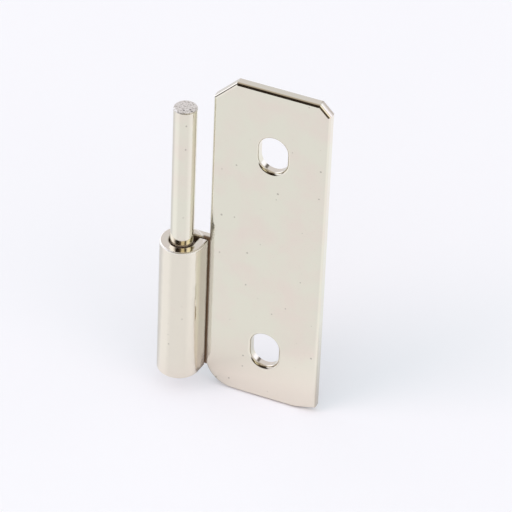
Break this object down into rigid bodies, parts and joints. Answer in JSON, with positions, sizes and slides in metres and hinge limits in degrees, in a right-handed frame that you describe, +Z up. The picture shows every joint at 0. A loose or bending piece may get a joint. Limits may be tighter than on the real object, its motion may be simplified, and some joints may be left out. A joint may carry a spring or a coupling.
{
  "type": "lift-off hinge pin half",
  "caption": "Pin-carrying half of a lift-off oven door hinge: a nickel-plated sheet steel leaf with screw slots, rolled round an upright pin.",
  "frame": {"origin": "on the pin's axis, in the plane of the knuckle's top end, where the other half of the hinge bears", "axes": "+Z up along the pin towards its free end, +X across the leaf to its free edge, +Y towards the flat back of the leaf"},
  "size_m": [0.0343, 0.0092, 0.078],
  "materials": {
    "plated_sheet": "bright nickel plate over pressed sheet steel",
    "plated_pin": "bright nickel plate over drawn round steel"
  },
  "bodies": {
    "root": {"leaf": "plated_sheet", "pin": "plated_pin"}
  },
  "joints": []
}
